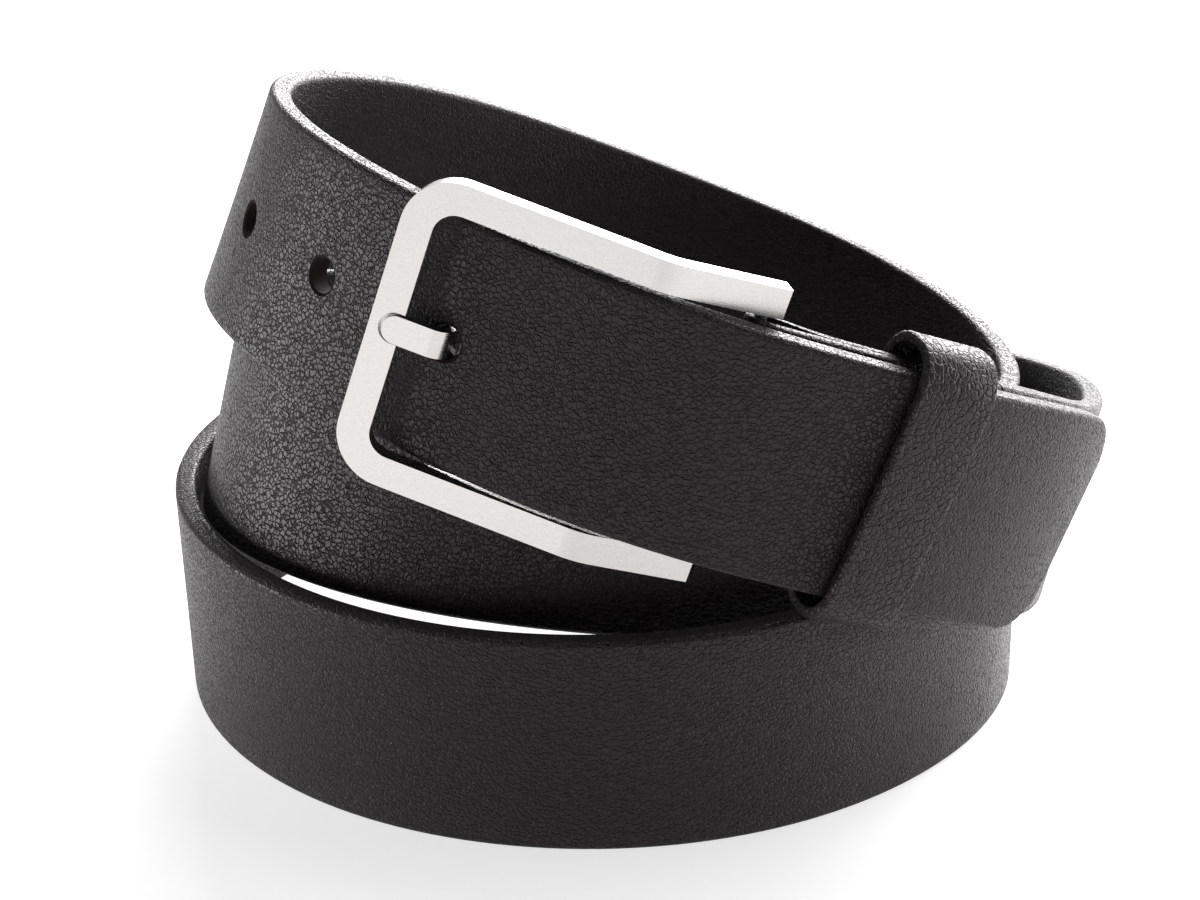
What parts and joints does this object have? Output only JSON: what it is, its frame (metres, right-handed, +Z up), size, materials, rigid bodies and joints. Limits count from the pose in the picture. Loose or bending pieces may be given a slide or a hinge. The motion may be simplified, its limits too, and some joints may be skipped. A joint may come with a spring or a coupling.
{
  "type": "leather belt",
  "caption": "Buckled black leather dress belt wound in a coil, with a square metal frame buckle, prong, holes and leather keeper.",
  "frame": {"origin": "on the floor under the middle of the coiled belt", "axes": "+X to the right and -Y to the front, where the buckle is; +Z up from the floor"},
  "size_m": [0.148, 0.1376, 0.1013],
  "materials": {
    "strap_leather": "fine pebbled grain, satin",
    "lining_leather": "fine grain, matte",
    "keeper_leather": "coarse pebbled grain, satin",
    "thread": "waxed thread",
    "brushed_metal": "brushed face with polished rim",
    "polished_metal": "polished"
  },
  "bodies": {
    "strap": {"strap_face": "strap_leather", "strap_lining": "lining_leather", "heel_stitching": "thread", "keeper_stitching": "thread"},
    "buckle": {"buckle_frame": "brushed_metal", "heel_bar": "polished_metal"},
    "prong": {"prong": "brushed_metal"},
    "keeper": {"keeper_loop": "keeper_leather", "keeper_staple": "polished_metal"}
  },
  "joints": [
    {"name": "buckle_swing", "type": "hinge", "parent": "strap", "child": "buckle", "pos_m": [0.01078, -0.06218, 0.06544], "axis": [0.3083, 0.0039, 0.9513], "range_deg": [-3, 8], "stiffness_Nm_per_rad": 0.05, "deforming": ["strap_face", "strap_lining"]},
    {"name": "prong_lift", "type": "hinge", "parent": "buckle", "child": "prong", "pos_m": [0.01078, -0.06218, 0.06544], "axis": [0.3083, 0.0039, 0.9513], "range_deg": [0, 1.4], "stiffness_Nm_per_rad": 0.02},
    {"name": "keeper_slide", "type": "slide", "parent": "strap", "child": "keeper", "axis": [-0.84, -0.4014, 0.3651], "range_m": [0, 0.003]}
  ]
}
